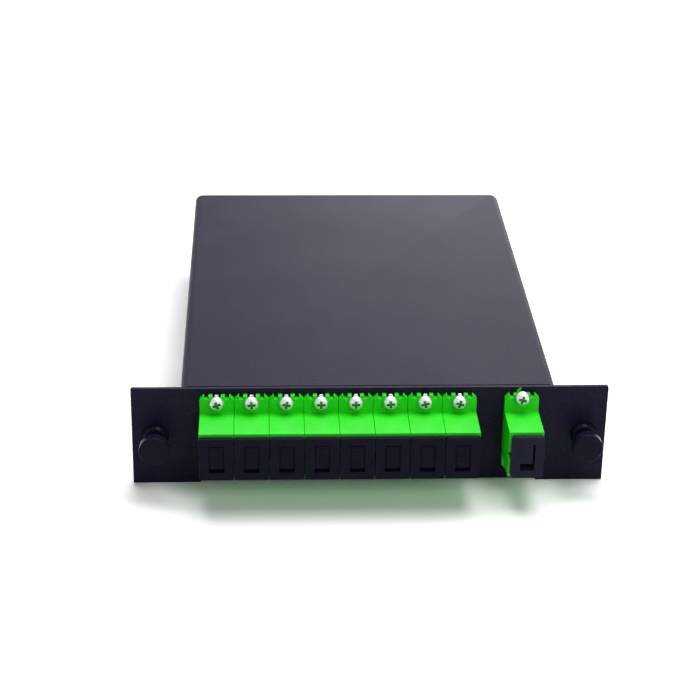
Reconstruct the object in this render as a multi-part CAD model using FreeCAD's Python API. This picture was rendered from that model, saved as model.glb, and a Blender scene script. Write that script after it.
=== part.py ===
"""Fibre splitter cassette: a folded steel case with eight output ports and one input port.

Axes: X runs to the right as seen from the front, Y towards the back, Z up, all in mm.
Origin: on the underside, below the middle of the front panel's width, halfway along the case.
Small pieces are drawn about a port or latch axis, from the panel's front face, and then moved there.
"""
import FreeCAD, Part
import math
import os

V = FreeCAD.Vector
X, Y = V(1, 0, 0), V(0, 1, 0)
TOUCH = 1e-6                 # two places nearer than this are the same

CUT = 1.0                    # how far a cutting shape runs past the surface that it cuts

# Sheet metal
SHEET = 1.2
BEND_INSIDE = 0.5
PANEL_WIDTH = 130.0
PANEL_HEIGHT = 29.0
PANEL_CORNER = 0.5
PANEL_EAR = 13.85            # panel beyond the case, averaged over the two ends
PANEL_SEAT_GAP = 0.5         # between the case and the part of the ear that a rack panel touches
FOLD_INSET = 4.65            # the fold to the floor stops this far short of the case's sides
CASE_DEPTH = 146.5
CASE_SHIFT = -0.45           # the case sits this far to the right of the panel's middle
COVER_DROP = 0.2             # top of the cover below the panel's top edge
COVER_FRONT_GAP = 0.7
COVER_FOOT_GAP = 0.2
COVER_EDGE_RADIUS = 2.0
COVER_CORNER_RADIUS = 2.7
COVER_FIT = 0.15             # tray flanges inside the cover's walls
FLANGE_GAP = 0.5             # from the tray's side flanges up to the adapters
CORNER_RELIEF = 2.5

# Ports
OUTPUT_COUNT = 8
OUTPUT_GAP = 0.08            # between neighbouring adapters
LEFT_SHARE = 0.26            # of the case's free width, left of the first output
RIGHT_SHARE = 0.24           # and right of the input
PORT_RISE = 1.05             # ports above the middle of the panel's height
WINDOW_CLEARANCE = 0.1

# Adapter housing
BODY_WIDTH = 9.33
BODY_ABOVE = 7.05            # from the port axis up
BODY_BELOW = 6.45
BODY_REACH = 14.2            # from the panel's front face, the same to both sides
EAR_HEIGHT = 23.0
EAR_RISE = 0.45              # middle of the flange above the port axis
EAR_THICKNESS = 1.8
EAR_TOP_CHAMFER = 1.05
EAR_BOTTOM_CHAMFER = 1.25
SLOT_WIDTH = 2.24
TOOTH_WIDTH = 1.13
NOTCH_WIDTH = 1.15
NOTCH_DEPTH = 0.9
SOCKET_WIDTH = 7.5
SOCKET_HEIGHT = 9.1
KEY_SLOT_HEIGHT = 1.9
KEY_SLOT_DEPTH = 2.6

# Adapter screws
SCREW_OFFSET = 9.5           # from the middle of the flange, up and down
INPUT_SCREW_RISE = 1.1       # the input port's upper screw sits higher in its slot
SCREW_RADIUS = 0.95
SCREW_HEAD_RADIUS = 1.95
SCREW_HEAD_HEIGHT = 1.6
SCREW_HEAD_EDGE = 0.65       # slope round the front of the head
SCREW_TIP = 0.6              # beyond the panel's back
THREAD_CLEARANCE = 0.05

# Sleeve inside each adapter
SLEEVE_RADIUS = 1.6
SLEEVE_BORE = 1.27
SLEEVE_LENGTH = 11.4
SLEEVE_SLIT = 0.5
HOLDER_FIT = 0.1
HOLDER_PLATE = 2.4
HOLDER_TUBE_RADIUS = 2.3
HOLDER_TUBE_LENGTH = 12.0
SLEEVE_FIT = 0.03
HOOK_WIDTH = 3.2
HOOK_THICKNESS = 0.8
HOOK_REACH = 9.8
HOOK_BARB = 0.5

# Dust caps
CAP_FIT = 0.1
CAP_WALL = 0.8
CAP_PLUG_HEIGHT = 6.0
CAP_PLUG_LENGTH = 7.0
CAP_HEAD = 1.4               # how far the head stands in front of the adapter
OUTPUT_CAP = dict(width=9.05, height=12.3, corner=0.4, shift=0.0, plate=True,
                  dish_width=4.1, dish_height=7.95, dish_depth=1.7)
INPUT_CAP = dict(width=8.9, height=12.35, corner=1.1, shift=0.4, plate=False,
                 dish_width=3.9, dish_height=7.9, dish_depth=3.6)
CAP_FLOOR = 0.5
CAP_PLATE_SIDE_GAP = 0.45
CAP_PLATE_TOP_GAP = 0.3
CAP_PLATE_BOTTOM_GAP = 1.1
CAP_PLATE_DROP = 0.15        # top of the plate below the head's face
CAP_LEDGE_DROP = 0.45        # and the floor beside the plate

# Latches
LATCH_INSET = 6.25           # from the panel's ends
LATCH_SHIFT = 0.15
LATCH_HOLE_RADIUS = 2.85
BARREL_FIT = 0.05            # in the panel's hole
BARREL_RADIUS = 2.6          # behind the panel
BARREL_LENGTH = 8.5
BARREL_SLIT = 0.8
BARREL_TAPER = 1.2
COLLAR_RADIUS = 3.65
COLLAR_NOSE_RADIUS = 3.0
COLLAR_THICKNESS = 1.9
COLLAR_RIM = 0.7
STEM_RADIUS = 1.9
STEM_FIT = 0.05
STEM_END = 6.5
NECK_RADIUS = 2.5
KNOB_RADIUS = 4.1
KNOB_THICKNESS = 3.0
KNOB_FRONT = 9.0             # front of the knob from the panel's face, latch pulled out
KNOB_EDGE = 0.5
LATCH_TRAVEL = 4.0

# Cover screws
COVER_SCREW_RADIUS = 1.45
COVER_SCREW_HOLE = 1.6
COVER_SCREW_HEAD_RADIUS = 2.75
COVER_SCREW_HEAD_HEIGHT = 1.8
COVER_SCREW_LENGTH = 5.0
COVER_SCREW_SHARE = 0.6      # height of the cover screws, as a share of the tray's side flanges

# Connectors, splitter module and fibres inside the case
PLUG_START = 6.6
PLUG_END = 27.0
PLUG_KEY_WIDTH = 1.7
PLUG_GRIP_DEPTH = 0.5
PLUG_GRIP_LENGTH = 7.0
PLUG_GRIP_GAP = 2.0
FERRULE_RADIUS = 1.25
FERRULE_TIP = 0.1
BOOT_RADIUS = 2.6
BOOT_TIP_RADIUS = 1.2
BOOT_LENGTH = 14.0
MODULE_ROOM = 17.5           # behind the module, for the input fibre's turn
MODULE_WIDTH = 7.0
MODULE_HEIGHT = 4.0
MODULE_PLUG_LENGTH = 3.0
MODULE_PLUG_INSET = 0.5
PAD_THICKNESS = 1.0
FAN_LENGTH = 32.0
FAN_LEAD = 9.0
FIRST_BEND_SHARE = 0.9       # of a first or last run that its bend may take
MIDDLE_BEND_SHARE = 0.45     # of a run between two bends
FIBRE_RADIUS = 0.45
FIBRE_ROW_PITCH = 1.2
INPUT_TURN = 12.0
CLIP_LENGTH = 8.0
CLIP_SHEET = 0.8
CLIP_FOOT = 4.0
CLIP_FIT = 0.1
CLIP_SHARES = (0.25, 0.75)   # middles of the clips along the module

# Places that follow from the sizes above
CASE_WIDTH = PANEL_WIDTH - 2 * PANEL_EAR
FRONT = -CASE_DEPTH / 2
BACK = CASE_DEPTH / 2
PANEL_BACK = FRONT + SHEET
COVER_TOP = PANEL_HEIGHT - COVER_DROP
COVER_FRONT = PANEL_BACK + COVER_FRONT_GAP
CASE_LEFT = CASE_SHIFT - CASE_WIDTH / 2
CASE_RIGHT = CASE_SHIFT + CASE_WIDTH / 2
TRAY_INSET = SHEET + COVER_FIT
PORT_Z = PANEL_HEIGHT / 2 + PORT_RISE
OUTPUT_PITCH = BODY_WIDTH + OUTPUT_GAP
FREE_WIDTH = CASE_WIDTH - 2 * SHEET - BODY_WIDTH * (OUTPUT_COUNT + 1) - OUTPUT_GAP * (OUTPUT_COUNT - 1)
FIRST_OUTPUT_X = CASE_LEFT + SHEET + LEFT_SHARE * FREE_WIDTH + BODY_WIDTH / 2
INPUT_X = CASE_RIGHT - SHEET - RIGHT_SHARE * FREE_WIDTH - BODY_WIDTH / 2
OUTPUT_XS = [FIRST_OUTPUT_X + i * OUTPUT_PITCH for i in range(OUTPUT_COUNT)]
PORT_XS = OUTPUT_XS + [INPUT_X]
PORT_NAMES = [str(i + 1) for i in range(OUTPUT_COUNT)] + ["input"]
FLANGE_HEIGHT = PORT_Z - BODY_BELOW - FLANGE_GAP
COVER_SCREW_Z = COVER_SCREW_SHARE * FLANGE_HEIGHT
COVER_SCREW_Y = (COVER_FRONT + BACK) / 2
LATCH_XS = (LATCH_SHIFT + LATCH_INSET - PANEL_WIDTH / 2, LATCH_SHIFT - LATCH_INSET + PANEL_WIDTH / 2)
LATCH_Z = PANEL_HEIGHT / 2
FAN_BACK = FRONT + PLUG_END + BOOT_LENGTH + FAN_LENGTH
MODULE_X = (OUTPUT_XS[0] + OUTPUT_XS[-1]) / 2
MODULE_FRONT = FAN_BACK + MODULE_PLUG_LENGTH
MODULE_BACK = BACK - MODULE_ROOM - MODULE_PLUG_LENGTH
MODULE_FOOT = SHEET + PAD_THICKNESS
MODULE_AXIS = MODULE_FOOT + MODULE_HEIGHT / 2


def box(x0, x1, y0, y1, z0, z1):
    return Part.makeBox(x1 - x0, y1 - y0, z1 - z0, V(x0, y0, z0))


def rod(radius, y0, y1, x=0.0, z=0.0):
    return Part.makeCylinder(radius, y1 - y0, V(x, y0, z), Y)


def prism(points, along, start=0.0):
    """A straight-sided solid from (a, b) points: across Y they are (x, z), across X they are (y, z)."""
    if along.x:
        wire = [V(start, a, b) for a, b in points]
    else:
        wire = [V(a, start, b) for a, b in points]
    return Part.Face(Part.makePolygon(wire + wire[:1])).extrude(along)


def turned(points):
    """A solid of revolution about the Y axis, from (radius, y) points."""
    face = Part.Face(Part.makePolygon([V(r, y, 0) for r, y in points + points[:1]]))
    return face.revolve(V(0, 0, 0), Y, 360)


def moved(shape, x=0.0, y=0.0, z=0.0):
    copy = shape.copy()
    copy.translate(V(x, y, z))
    return copy


def joined(first, *rest):
    return first.fuse(list(rest)).removeSplitter()


def edges_at(shape, **place):
    """The straight edges whose two ends both lie at the given coordinates."""
    def on(edge):
        ends = [v.Point for v in edge.Vertexes]
        return len(ends) == 2 and all(abs(getattr(p, a) - c) < TOUCH for p in ends for a, c in place.items())
    return [e for e in shape.Edges if on(e)]


def save(name, shape):
    solids = shape.Solids
    assert solids and all(s.isValid() and s.isClosed() for s in solids), name
    whole = solids[0] if len(solids) == 1 else Part.makeCompound(solids)
    whole.exportStep("parts/" + name + ".step")


# ---------------------------------------------------------------- sheet metal

def port_window(x_first, x_last):
    half_x = BODY_WIDTH / 2 + WINDOW_CLEARANCE
    bottom, top = PORT_Z - BODY_BELOW - WINDOW_CLEARANCE, PORT_Z + BODY_ABOVE + WINDOW_CLEARANCE
    return box(x_first - half_x, x_last + half_x, FRONT - CUT, PANEL_BACK + CUT, bottom, top)


def screw_places():
    """(x, z) of every adapter screw."""
    places, middle = [], PORT_Z + EAR_RISE
    for x in PORT_XS:
        rise = INPUT_SCREW_RISE if x == INPUT_X else 0.0
        places.append((x, middle + SCREW_OFFSET + rise))
        places.append((x, middle - SCREW_OFFSET))
    return places


def tray_blank():
    """Floor, side and back flanges and the middle of the panel, folded but without holes."""
    left, right, back = CASE_LEFT + TRAY_INSET, CASE_RIGHT - TRAY_INSET, BACK - TRAY_INSET
    fold_left, fold_right = FOLD_INSET - CASE_WIDTH / 2, CASE_WIDTH / 2 - FOLD_INSET
    floor_front = PANEL_BACK + COVER_FRONT_GAP
    floor = box(left, right, floor_front, back, 0, SHEET)
    for x0, x1 in ((left, left + CORNER_RELIEF), (right - CORNER_RELIEF, right)):
        floor = floor.cut(box(x0, x1, back - CORNER_RELIEF, back, -CUT, SHEET + CUT))
        floor = floor.cut(box(x0, x1, floor_front, floor_front + CORNER_RELIEF, -CUT, SHEET + CUT))
    y0, y1 = floor_front + CORNER_RELIEF, back - CORNER_RELIEF
    x0, x1 = left + CORNER_RELIEF, right - CORNER_RELIEF
    tray = joined(
        floor,
        box(left, left + SHEET, y0, y1, 0, FLANGE_HEIGHT),
        box(right - SHEET, right, y0, y1, 0, FLANGE_HEIGHT),
        box(x0, x1, back - SHEET, back, 0, FLANGE_HEIGHT),
        box(fold_left, fold_right, FRONT, PANEL_BACK, 0, PANEL_HEIGHT),
        box(fold_left, fold_right, FRONT, floor_front, 0, SHEET),
    )
    for place in (dict(x=left), dict(x=right), dict(y=back), dict(y=FRONT)):
        tray = tray.makeFillet(BEND_INSIDE + SHEET, edges_at(tray, z=0, **place))
    for place in (dict(x=left + SHEET), dict(x=right - SHEET), dict(y=back - SHEET), dict(y=PANEL_BACK)):
        tray = tray.makeFillet(BEND_INSIDE, edges_at(tray, z=SHEET, **place))
    beside = [box(CASE_LEFT - PANEL_SEAT_GAP, fold_left, FRONT, PANEL_BACK, 0, PANEL_HEIGHT),
              box(fold_right, CASE_RIGHT + PANEL_SEAT_GAP, FRONT, PANEL_BACK, 0, PANEL_HEIGHT)]
    return joined(tray, *beside)


def base_tray():
    """Front panel, floor and three low flanges, folded from one sheet."""
    tray, half = tray_blank(), PANEL_WIDTH / 2
    seat_left, seat_right = CASE_LEFT - PANEL_SEAT_GAP, CASE_RIGHT + PANEL_SEAT_GAP
    for x0, x1, end in ((-half, seat_left, -half), (seat_right, half, half)):
        ear = box(x0, x1, FRONT, PANEL_BACK, 0, PANEL_HEIGHT)
        corners = edges_at(ear, x=end, z=0) + edges_at(ear, x=end, z=PANEL_HEIGHT)
        tray = tray.fuse(ear.makeFillet(PANEL_CORNER, corners))
    cuts = [port_window(OUTPUT_XS[0], OUTPUT_XS[-1]), port_window(INPUT_X, INPUT_X)]
    for x, z in screw_places():
        cuts.append(rod(SCREW_RADIUS + THREAD_CLEARANCE, FRONT - CUT, PANEL_BACK + CUT, x, z))
    for x in LATCH_XS:
        cuts.append(rod(LATCH_HOLE_RADIUS, FRONT - CUT, PANEL_BACK + CUT, x, LATCH_Z))
    cuts.append(cover_screw_drill(COVER_SCREW_RADIUS + THREAD_CLEARANCE))
    return tray.cut(cuts)


def cover_screw_drill(radius):
    """Both cover screws' holes at once: a drill across the whole case."""
    start = V(CASE_LEFT - CUT, COVER_SCREW_Y, COVER_SCREW_Z)
    return Part.makeCylinder(radius, CASE_WIDTH + 2 * CUT, start, X)


def cover_block(inset, cut):
    """The cover's outside, or with an inset the space inside it, which runs on by cut in front and below."""
    front, foot = COVER_FRONT - cut, COVER_FOOT_GAP - cut
    left, right, back = CASE_LEFT + inset, CASE_RIGHT - inset, BACK - inset
    top = COVER_TOP - inset
    block = box(left, right, front, back, foot, top)
    corners = edges_at(block, x=left, y=back) + edges_at(block, x=right, y=back)
    block = block.makeFillet(COVER_CORNER_RADIUS - inset, corners)
    rim = [e for e in block.Edges if all(abs(v.Z - top) < TOUCH for v in e.Vertexes)]
    rim = [e for e in rim if not all(abs(v.Y - front) < TOUCH for v in e.Vertexes)]
    return block.makeFillet(COVER_EDGE_RADIUS - inset, rim)


def top_cover():
    """Top, side and back walls in one sheet, open to the front and below."""
    return cover_block(0.0, 0.0).cut(cover_block(SHEET, CUT)).cut(cover_screw_drill(COVER_SCREW_HOLE))


def cover_screws():
    screws = []
    for x, inward in ((CASE_LEFT, 1), (CASE_RIGHT, -1)):
        seat = V(x, COVER_SCREW_Y, COVER_SCREW_Z)
        head = Part.makeCylinder(COVER_SCREW_HEAD_RADIUS, COVER_SCREW_HEAD_HEIGHT, seat, X * -inward)
        shank = Part.makeCylinder(COVER_SCREW_RADIUS, COVER_SCREW_LENGTH, seat, X * inward)
        screws.append(head.fuse(shank))
    return Part.makeCompound(screws)


# ---------------------------------------------------------------- ports

def ear_outline():
    """The flange seen from the front: notched along its top, with an open screw slot at each end."""
    half_w, half_h = BODY_WIDTH / 2, EAR_HEIGHT / 2
    slot = SLOT_WIDTH / 2
    notch = slot + TOOTH_WIDTH
    notch_end = notch + NOTCH_WIDTH
    slot_top = SCREW_OFFSET - slot
    right = [
        (0, slot_top),
        (slot, slot_top),
        (slot, half_h),
        (notch, half_h),
        (notch, half_h - NOTCH_DEPTH),
        (notch_end, half_h - NOTCH_DEPTH),
        (notch_end, half_h),
        (half_w - EAR_TOP_CHAMFER, half_h),
        (half_w, half_h - EAR_TOP_CHAMFER),
        (half_w, EAR_BOTTOM_CHAMFER - half_h),
        (half_w - EAR_BOTTOM_CHAMFER, -half_h),
        (slot, -half_h),
        (slot, -slot_top),
        (0, -slot_top),
    ]
    left = [(-x, z) for x, z in reversed(right) if x]
    return right + left


def adapter():
    """One-piece housing: a square tube with a flange that the panel screws go through."""
    half_w, key_z = BODY_WIDTH / 2, KEY_SLOT_HEIGHT / 2
    socket_x, socket_z = SOCKET_WIDTH / 2, SOCKET_HEIGHT / 2
    end = BODY_REACH + CUT
    body = box(-half_w, half_w, -BODY_REACH, BODY_REACH, -BODY_BELOW, BODY_ABOVE)
    flange = moved(prism(ear_outline(), Y * EAR_THICKNESS, -EAR_THICKNESS), z=EAR_RISE)
    socket = box(-socket_x, socket_x, -end, end, -socket_z, socket_z)
    key = box(-half_w - CUT, 0, -end, KEY_SLOT_DEPTH - BODY_REACH, -key_z, key_z)
    back_key = box(-half_w - CUT, 0, BODY_REACH - KEY_SLOT_DEPTH, end, -key_z, key_z)
    return joined(body, flange).cut([socket, key, back_key])


def adapter_screws():
    """Pan-head screws through the slots of the flanges into the panel."""
    rim, tip = SCREW_HEAD_RADIUS - SCREW_HEAD_EDGE, EAR_THICKNESS + SHEET + SCREW_TIP
    outline = [
        (0, -SCREW_HEAD_HEIGHT),
        (rim, -SCREW_HEAD_HEIGHT),
        (SCREW_HEAD_RADIUS, SCREW_HEAD_EDGE - SCREW_HEAD_HEIGHT),
        (SCREW_HEAD_RADIUS, 0),
        (SCREW_RADIUS, 0),
        (SCREW_RADIUS, tip),
        (0, tip),
    ]
    screw = turned(outline)
    return Part.makeCompound([moved(screw, x, FRONT - EAR_THICKNESS, z) for x, z in screw_places()])


def sleeve_holder():
    """Plate across the middle of the adapter, with a tube for the sleeve and two hooks to the front."""
    half_w = SOCKET_WIDTH / 2 - HOLDER_FIT
    half_h = SOCKET_HEIGHT / 2 - HOLDER_FIT
    plate = box(-half_w, half_w, -HOLDER_PLATE / 2, HOLDER_PLATE / 2, -half_h, half_h)
    tube = rod(HOLDER_TUBE_RADIUS, -HOLDER_TUBE_LENGTH / 2, HOLDER_TUBE_LENGTH / 2)
    inner = half_h - HOOK_THICKNESS
    profile = [
        (0, half_h),
        (-HOOK_REACH, half_h),
        (-HOOK_REACH, inner),
        (-HOOK_REACH + HOOK_BARB, inner - HOOK_BARB),
        (-HOOK_REACH + 2 * HOOK_BARB, inner - HOOK_BARB),
        (-HOOK_REACH + 2 * HOOK_BARB, inner),
        (0, inner),
    ]
    hook = prism(profile, X * HOOK_WIDTH, -HOOK_WIDTH / 2)
    other = prism([(y, -z) for y, z in profile], X * HOOK_WIDTH, -HOOK_WIDTH / 2)
    bore = rod(SLEEVE_RADIUS + SLEEVE_FIT, -HOLDER_TUBE_LENGTH, HOLDER_TUBE_LENGTH)
    return joined(plate, tube, hook, other).cut(bore)


def alignment_sleeve():
    """Ceramic tube slit along one side, which springs onto the two ferrules."""
    half = SLEEVE_LENGTH / 2
    tube = rod(SLEEVE_RADIUS, -half, half).cut(rod(SLEEVE_BORE, -half - CUT, half + CUT))
    return tube.cut(box(-SLEEVE_SLIT / 2, SLEEVE_SLIT / 2, -half - CUT, half + CUT, 0, SLEEVE_RADIUS + CUT))


def dust_cap(width, height, corner, shift, dish_width, dish_height, dish_depth, plate):
    """Hollow plug with a flat head; the head has a dish in it, with a raised plate on the output ports."""
    face = -BODY_REACH - CAP_HEAD
    left, right, half_h = shift - width / 2, shift + width / 2, height / 2
    head = box(left, right, face, -BODY_REACH, -half_h, half_h)
    corners = [e for x in (left, right) for z in (-half_h, half_h) for e in edges_at(head, x=x, z=z)]
    head = head.makeFillet(corner, corners)
    plug_w, plug_h = SOCKET_WIDTH / 2 - CAP_FIT, CAP_PLUG_HEIGHT / 2
    plug_end = CAP_PLUG_LENGTH - BODY_REACH
    plug = box(-plug_w, plug_w, -BODY_REACH, plug_end, -plug_h, plug_h)
    dish_x, dish_z, dish_floor = dish_width / 2, dish_height / 2, face + dish_depth
    dish = box(shift - dish_x, shift + dish_x, face - CUT, dish_floor, -dish_z, dish_z)
    hollow_x, hollow_z = plug_w - CAP_WALL, plug_h - CAP_WALL
    pocket_back, pocket_z = dish_floor + CAP_FLOOR, dish_z + CAP_FLOOR
    hollow = box(-hollow_x, hollow_x, pocket_back, plug_end + CUT, -hollow_z, hollow_z)
    pocket = box(-plug_w, plug_w, -BODY_REACH, pocket_back, -pocket_z, pocket_z)
    cap = joined(head, plug, pocket).cut([hollow, dish])
    if not plate:
        return cap
    plate_x = dish_x - CAP_PLATE_SIDE_GAP
    plate_bottom, plate_top = CAP_PLATE_BOTTOM_GAP - dish_z, dish_z - CAP_PLATE_TOP_GAP
    ledge = box(-dish_x, dish_x, face + CAP_LEDGE_DROP, dish_floor, plate_bottom, dish_z)
    raised = box(-plate_x, plate_x, face + CAP_PLATE_DROP, dish_floor, plate_bottom, plate_top)
    return joined(cap, ledge, raised)


# ---------------------------------------------------------------- latches

def latch_grommet():
    """Collar against the panel's face and a slit barrel through it, tapered at its end."""
    bore = STEM_RADIUS + STEM_FIT
    outline = [
        (bore, -COLLAR_THICKNESS),
        (COLLAR_NOSE_RADIUS, -COLLAR_THICKNESS),
        (COLLAR_RADIUS, -COLLAR_RIM),
        (COLLAR_RADIUS, 0),
        (LATCH_HOLE_RADIUS - BARREL_FIT, 0),
        (LATCH_HOLE_RADIUS - BARREL_FIT, SHEET),
        (BARREL_RADIUS, SHEET),
        (BARREL_RADIUS, BARREL_LENGTH - BARREL_TAPER),
        (BARREL_RADIUS - BARREL_TAPER / 2, BARREL_LENGTH),
        (bore, BARREL_LENGTH),
    ]
    slit = box(-BARREL_SLIT / 2, BARREL_SLIT / 2, SHEET, BARREL_LENGTH + CUT, -COLLAR_RADIUS, COLLAR_RADIUS)
    return turned(outline).cut(slit)


def latch_plunger():
    """Knob, neck and the stem that slides through the grommet."""
    back = -KNOB_FRONT + KNOB_THICKNESS
    shoulder = -COLLAR_THICKNESS - LATCH_TRAVEL
    outline = [
        (0, -KNOB_FRONT),
        (KNOB_RADIUS - KNOB_EDGE, -KNOB_FRONT),
        (KNOB_RADIUS, -KNOB_FRONT + KNOB_EDGE),
        (KNOB_RADIUS, back),
        (NECK_RADIUS, back),
        (NECK_RADIUS, shoulder),
        (STEM_RADIUS, shoulder),
        (STEM_RADIUS, STEM_END),
        (0, STEM_END),
    ]
    return turned(outline)


# ---------------------------------------------------------------- inside the case

def connector():
    """Plug housing in the back of an adapter: a key in the adapter's slot and a finger grip on each side."""
    half_w = SOCKET_WIDTH / 2 - HOLDER_FIT
    half_h = SOCKET_HEIGHT / 2 - HOLDER_FIT
    housing = box(-half_w, half_w, PLUG_START, PLUG_END, -half_h, half_h)
    key_z = PLUG_KEY_WIDTH / 2
    key = box(-BODY_WIDTH / 2, 0, BODY_REACH - KEY_SLOT_DEPTH + HOLDER_FIT, PLUG_END, -key_z, key_z)
    y0 = BODY_REACH + PLUG_GRIP_GAP
    grips = [box(-half_w, half_w, y0, y0 + PLUG_GRIP_LENGTH, z, z + PLUG_GRIP_DEPTH)
             for z in (-half_h, half_h - PLUG_GRIP_DEPTH)]
    return joined(housing, key).cut(grips)


def ferrule():
    return rod(FERRULE_RADIUS, FERRULE_TIP, PLUG_START)


def boot():
    return Part.makeCone(BOOT_RADIUS, BOOT_TIP_RADIUS, BOOT_LENGTH, V(0, PLUG_END, 0), Y)


def at_ports(shape):
    return Part.makeCompound([moved(shape, x, FRONT, PORT_Z) for x in PORT_XS])


def splitter_module():
    half, top = MODULE_WIDTH / 2, MODULE_FOOT + MODULE_HEIGHT
    return box(MODULE_X - half, MODULE_X + half, MODULE_FRONT, MODULE_BACK, MODULE_FOOT, top)


def module_pad():
    half = MODULE_WIDTH / 2
    return box(MODULE_X - half, MODULE_X + half, MODULE_FRONT, MODULE_BACK, SHEET, MODULE_FOOT)


def module_end_plugs():
    half = MODULE_WIDTH / 2 - MODULE_PLUG_INSET
    z0, z1 = MODULE_FOOT + MODULE_PLUG_INSET, MODULE_FOOT + MODULE_HEIGHT - MODULE_PLUG_INSET
    front = box(MODULE_X - half, MODULE_X + half, FAN_BACK, MODULE_FRONT, z0, z1)
    back = box(MODULE_X - half, MODULE_X + half, MODULE_BACK, MODULE_BACK + MODULE_PLUG_LENGTH, z0, z1)
    return Part.makeCompound([front, back])


def module_clips():
    """Two saddles over the module, with feet on the floor."""
    inner = MODULE_WIDTH / 2 + CLIP_FIT
    outer = inner + CLIP_SHEET
    foot = outer + CLIP_FOOT
    under = MODULE_FOOT + MODULE_HEIGHT + CLIP_FIT
    right = [(inner, under), (inner, SHEET), (foot, SHEET), (foot, SHEET + CLIP_SHEET),
             (outer, SHEET + CLIP_SHEET), (outer, under + CLIP_SHEET)]
    outline = right + [(-x, z) for x, z in reversed(right)]
    clips = []
    for share in CLIP_SHARES:
        y = MODULE_FRONT + share * (MODULE_BACK - MODULE_FRONT) - CLIP_LENGTH / 2
        clips.append(moved(prism(outline, Y * CLIP_LENGTH, y), x=MODULE_X))
    return Part.makeCompound(clips)


def bend_room(runs, i):
    """How far the bend between runs i and i + 1 may reach along each of them."""
    before = FIRST_BEND_SHARE if i == 0 else MIDDLE_BEND_SHARE
    after = FIRST_BEND_SHARE if i + 2 == len(runs) else MIDDLE_BEND_SHARE
    return min(runs[i].Length * before, runs[i + 1].Length * after)


def fibre(points):
    """Round fibre along straight runs joined by tangent arcs as large as the runs allow."""
    runs = [end - start for start, end in zip(points, points[1:])]
    edges, start = [], points[0]
    for i, corner in enumerate(points[1:-1]):
        before, after = V(runs[i]).normalize(), V(runs[i + 1]).normalize()
        half_turn, room = before.getAngle(after) / 2, bend_room(runs, i)
        into, out = corner - before * room, corner + after * room
        radius = room / math.tan(half_turn)
        middle = corner + (after - before).normalize() * (radius / math.cos(half_turn) - radius)
        edges.append(Part.LineSegment(start, into).toShape())
        edges.append(Part.Arc(into, middle, out).toShape())
        start = out
    edges.append(Part.LineSegment(start, points[-1]).toShape())
    path = Part.Wire(edges)
    circle = Part.Wire(Part.Circle(points[0], runs[0], FIBRE_RADIUS).toShape())
    tube = path.makePipeShell([circle], True, True)
    section = math.pi * FIBRE_RADIUS ** 2
    print("fibre length %.1f, volume ratio %.5f" % (path.Length, tube.Volume / (section * path.Length)))
    return tube


def output_fibre(index):
    port = V(OUTPUT_XS[index], FRONT + PLUG_END + BOOT_LENGTH, PORT_Z)
    column = index // 2 - (OUTPUT_COUNT // 2 - 1) / 2
    row = index % 2 - 0.5
    exit_point = V(MODULE_X + column * FIBRE_ROW_PITCH, FAN_BACK, MODULE_AXIS + row * FIBRE_ROW_PITCH)
    return fibre([exit_point, exit_point - Y * FAN_LEAD, port + Y * FAN_LEAD, port])


def input_fibre():
    start = V(MODULE_X, MODULE_BACK + MODULE_PLUG_LENGTH, MODULE_AXIS)
    port = V(INPUT_X, FRONT + PLUG_END + BOOT_LENGTH, PORT_Z)
    turn = start + Y * INPUT_TURN
    return fibre([start, turn, V(INPUT_X, turn.y, MODULE_AXIS), port + Y * FAN_LEAD, port])


def main():
    os.makedirs("parts", exist_ok=True)
    save("base_tray", base_tray())
    save("top_cover", top_cover())
    save("cover_screws", cover_screws())
    save("adapter_screws", adapter_screws())
    for name, x in zip(PORT_NAMES, PORT_XS):
        save("adapter_" + name, moved(adapter(), x, FRONT, PORT_Z))
        save("connector_" + name, moved(connector(), x, FRONT, PORT_Z))
        cap = dust_cap(**(INPUT_CAP if name == "input" else OUTPUT_CAP))
        save("dust_cap_" + name, moved(cap, x, FRONT, PORT_Z))
    for i in range(OUTPUT_COUNT):
        save("fibre_" + PORT_NAMES[i], output_fibre(i))
    save("fibre_input", input_fibre())
    save("sleeve_holders", at_ports(sleeve_holder()))
    save("alignment_sleeves", at_ports(alignment_sleeve()))
    save("connector_ferrules", at_ports(ferrule()))
    save("connector_boots", at_ports(boot()))
    for side, x in zip(("left", "right"), LATCH_XS):
        save("latch_grommet_" + side, moved(latch_grommet(), x, FRONT, LATCH_Z))
        save("latch_plunger_" + side, moved(latch_plunger(), x, FRONT, LATCH_Z))
    save("splitter_module", splitter_module())
    save("module_end_plugs", module_end_plugs())
    save("module_pad", module_pad())
    save("module_clips", module_clips())


main()
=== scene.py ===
import math

import bmesh
import bpy
from mathutils import Matrix, Vector


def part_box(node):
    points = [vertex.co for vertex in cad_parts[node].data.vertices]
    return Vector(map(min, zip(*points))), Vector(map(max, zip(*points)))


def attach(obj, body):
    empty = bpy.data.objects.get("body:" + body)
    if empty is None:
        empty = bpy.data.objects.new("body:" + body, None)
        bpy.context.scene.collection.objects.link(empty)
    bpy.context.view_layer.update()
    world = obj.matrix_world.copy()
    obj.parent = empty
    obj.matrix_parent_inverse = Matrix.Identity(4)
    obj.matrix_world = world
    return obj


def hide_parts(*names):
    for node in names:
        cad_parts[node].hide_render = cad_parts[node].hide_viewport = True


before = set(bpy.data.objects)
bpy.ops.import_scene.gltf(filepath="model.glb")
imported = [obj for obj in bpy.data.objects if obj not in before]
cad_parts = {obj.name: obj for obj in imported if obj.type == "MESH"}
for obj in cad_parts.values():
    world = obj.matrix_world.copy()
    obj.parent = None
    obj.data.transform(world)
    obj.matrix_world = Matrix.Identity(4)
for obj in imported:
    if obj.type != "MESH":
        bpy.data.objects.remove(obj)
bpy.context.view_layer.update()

scene = bpy.context.scene
MM = 0.001


# ---------------------------------------------------------------- camera
# A long lens a little to the left of the panel's middle, looking down on the case at 26 degrees.
# It is tied to the panel's front face, and held very slightly out of level.

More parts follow.
